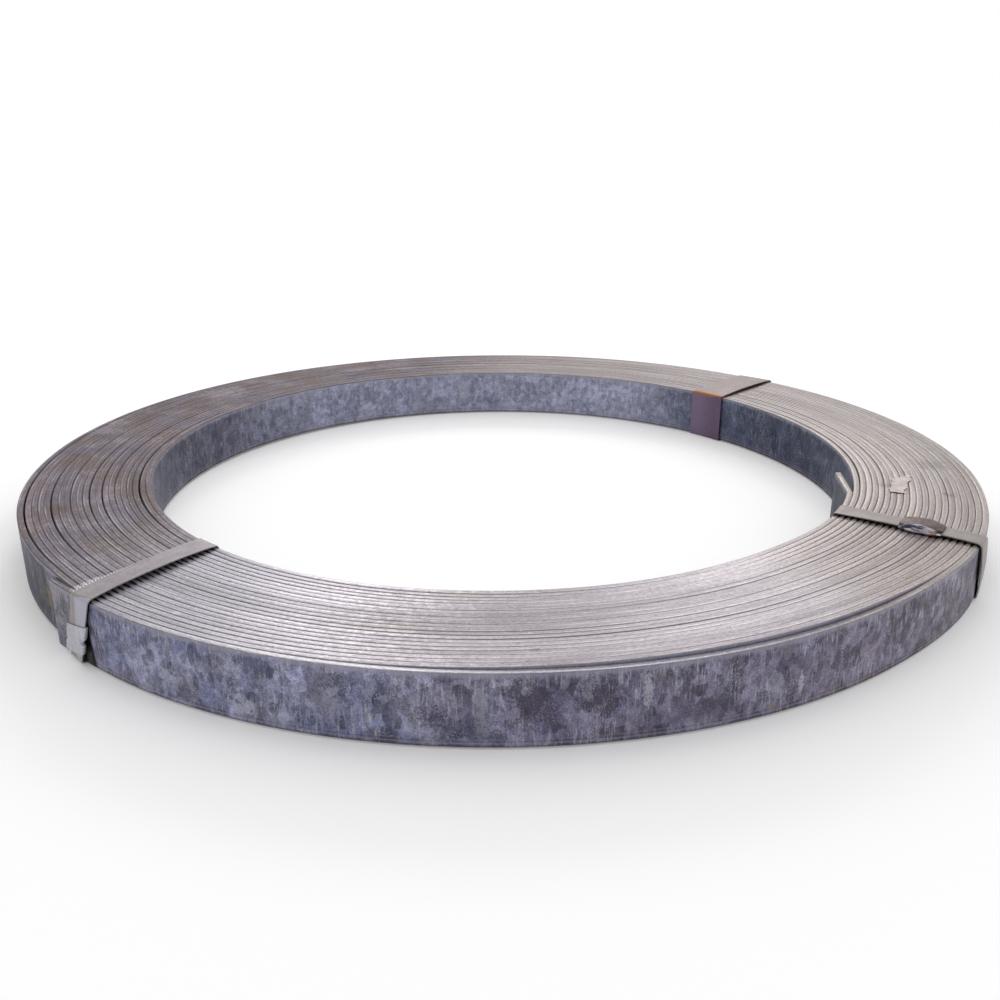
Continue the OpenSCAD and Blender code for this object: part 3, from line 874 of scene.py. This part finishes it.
right_seal_width, right_seal_length, right_seal_depth = 0.0222, 0.0255, 0.0034
right_seal_proud, dome_height = 0.0012, 0.0024
right_seal = make_sleeve(right_seal_width, right_seal_depth, right_seal_length, 40)
right_seal_at = reach(straps["right"], 0.3078)
for v in right_seal.verts:
    length_share, width_share = 2 * v.co.x / right_seal_length, 2 * v.co.y / right_seal_width
    front = eased(0.55, 0.95, -width_share)
    back = v.co.z > -right_seal_depth / 2
    v.co.y *= 1 - 0.22 * abs(length_share) ** 3
    if back:
        dome = max(0.0, 1 - length_share ** 2) * (1 - 0.45 * width_share ** 2)
        v.co.z += dome_height * dome + 0.0005 * noise.noise(Vector((length_share * 2.2, width_share, 4.2)))
    ripple = noise.noise(Vector((length_share * 2.6, 1.7 if back else 8.4, 0)))
    v.co.y -= front * (0.0009 * ripple + (0.0 if back else 0.0012))
    v.co.z += front * 0.0010 * noise.noise(Vector((length_share * 2.0, 5.3 if back else 2.2, 0)))
    over_turns = arched(straps["right"], v.co.x + right_seal_at, v.co.y)
    v.co.z += coil_top + band_thick + right_seal_proud + over_turns
    v.co.x += right_seal_at
wrap_round(right_seal, straps["right"])
right_sleeve = add_piece("seal_sleeve_right", right_seal, "seal_steel", "seal_right")
thicken(right_sleeve, sleeve_thick, -1, sleeve_round)
made, tree, shader, place, colour = rolled_steel(
    "right_seal_steel", straps["right"], (0.078, 0.050, 0.047), (0.168, 0.114, 0.106))
torn = ramp(tree, parts(tree, place)[1], -0.0090, -0.0102)
torn_cloud = cloud(tree, stretched(tree, place, (0.5, 1.0, 3.0)), 260.0, 3.0)
torn_colour = tint(tree, ramp(tree, torn_cloud, 0.43, 0.57), (0.050, 0.060, 0.105), (0.60, 0.56, 0.62))
torn_rust = ramp(tree, cloud(tree, stretched(tree, place, (0.4, 1.0, 1.0)), 300.0, 2.0), 0.58, 0.66)
torn_colour = tint(tree, torn_rust, torn_colour, (0.36, 0.19, 0.13))
colour = shaded(tree, colour, cloud(tree, place, 480.0, 4.0, 0.65), 0.34, 0.66, 0.62, 1.32)
join(tree, shader, Base_Color=tint(tree, torn, colour, torn_colour))
right_sleeve.data.materials.append(made)


# A torn scrap of packing paper, stuck flat on the turns at the right. It is a thin rumpled sheet with
# ragged edges, left over from the wrapping.
paper_thick, paper_round, paper_over = 0.00015, 0.00003, 0.0007
paper_corners = (Vector((0.2660, -0.0997, 0)), Vector((0.2748, -0.1030, 0)),
                 Vector((0.2940, -0.0655, 0)), Vector((0.2775, -0.0725, 0)))
paper_scrap = bmesh.new()
bmesh.ops.create_grid(paper_scrap, x_segments=14, y_segments=22, size=0.5)
for v in paper_scrap.verts:
    u, w = v.co.x + 0.5, v.co.y + 0.5
    low = paper_corners[0].lerp(paper_corners[1], u)
    high = paper_corners[3].lerp(paper_corners[2], u)
    v.co = low.lerp(high, w)
    v.co += Vector((noise.noise(v.co * 110), noise.noise(v.co * 110 + Vector((5, 0, 0))), 0)) * 0.0026
    v.co += Vector((noise.noise(v.co * 400), noise.noise(v.co * 400 + Vector((5, 0, 0))), 0)) * 0.0008
    v.co.z = coil_top + paper_over + 0.0002 * noise.noise(v.co * 300)
paper_scrap = add_piece("paper_scrap", paper_scrap, None)
thicken(paper_scrap, paper_thick, 1, paper_round)
paper, tree, shader = finish("torn_paper", 0.0)
place = node(tree, "TexCoord").outputs["Object"]
colour = tint(tree, ramp(tree, cloud(tree, place, 130.0, 5.0, 0.65), 0.35, 0.65), (0.56, 0.485, 0.455),
              (0.70, 0.62, 0.59))
colour = shaded(tree, colour, cloud(tree, place, 1500.0, 3.0), 0.3, 0.7, 0.85, 1.1)
shader.inputs["Roughness"].default_value = 0.85
join(tree, shader, Base_Color=colour, Normal=bump(tree, cloud(tree, place, 900.0, 4.0), 0.0003, 0.4))
paper_scrap.data.materials.append(paper)


# The stage: a plain pale disc of floor under the coil, a surround that is white behind it and dimmer
# in front, three soft lamps, and the camera at the photograph's angle.
floor_radius = 1.5
floor_mesh = bmesh.new()
bmesh.ops.create_circle(floor_mesh, cap_ends=True, segments=96, radius=floor_radius)
mesh = bpy.data.meshes.new("floor")
floor_mesh.to_mesh(mesh)
floor_mesh.free()
floor = bpy.data.objects.new("floor", mesh)
bpy.context.scene.collection.objects.link(floor)
floor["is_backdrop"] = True
pale, tree, shader = finish("pale_floor", 0.0)
shader.inputs["Base Color"].default_value = (0.92, 0.92, 0.92, 1)
shader.inputs["Emission Color"].default_value = (1, 1, 1, 1)
shader.inputs["Emission Strength"].default_value = 0.12
shader.inputs["Roughness"].default_value = 0.9
floor.data.materials.append(pale)

world = bpy.data.worlds.new("surround")
bpy.context.scene.world = world
world.use_nodes = True
tree = world.node_tree
way = parts(tree, node(tree, "TexCoord").outputs["Generated"])
back_way = maths(tree, "ADD", way[1], times(tree, way[0], 0.3))
ground = tree.nodes["Background"]
ground.inputs["Color"].default_value = (1, 1, 1, 1)
tree.links.new(ramp(tree, back_way, -0.5, 0.5, 0.55, 1.0), ground.inputs["Strength"])


def lamp(name, place, size, power):
    light = bpy.data.lights.new(name, "AREA")
    light.shape = "RECTANGLE"
    light.size, light.size_y = size
    light.energy = power
    made = bpy.data.objects.new(name, light)
    made.location = place
    made.rotation_euler = (-Vector(place)).to_track_quat("-Z", "Y").to_euler()
    made.visible_camera = False
    bpy.context.scene.collection.objects.link(made)


lamp("lamp_back_left", (-0.45, 2.1, 1.2), (0.5, 0.5), 7)
lamp("lamp_back_right", (0.62, 2.05, 1.2), (0.5, 0.5), 7)
lamp("lamp_above", (0.0, -0.1, 2.4), (1.4, 1.4), 7)

camera_place = (0.00026, -0.75194, 0.27716)
camera_turn, camera_dip, camera_roll = -0.042, 20.2668, -0.1455
camera = bpy.data.objects.new("camera", bpy.data.cameras.new("camera"))
bpy.context.scene.collection.objects.link(camera)
camera.data.sensor_width = 36.0
camera.data.lens = 36.738
camera.matrix_world = (Matrix.Translation(camera_place)
                       @ Matrix.Rotation(math.radians(camera_turn), 4, "Z")
                       @ Matrix.Rotation(math.radians(90 - camera_dip), 4, "X")
                       @ Matrix.Rotation(math.radians(camera_roll), 4, "Z"))
bpy.context.scene.camera = camera
bpy.context.scene.view_settings.view_transform = "Standard"

low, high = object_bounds()
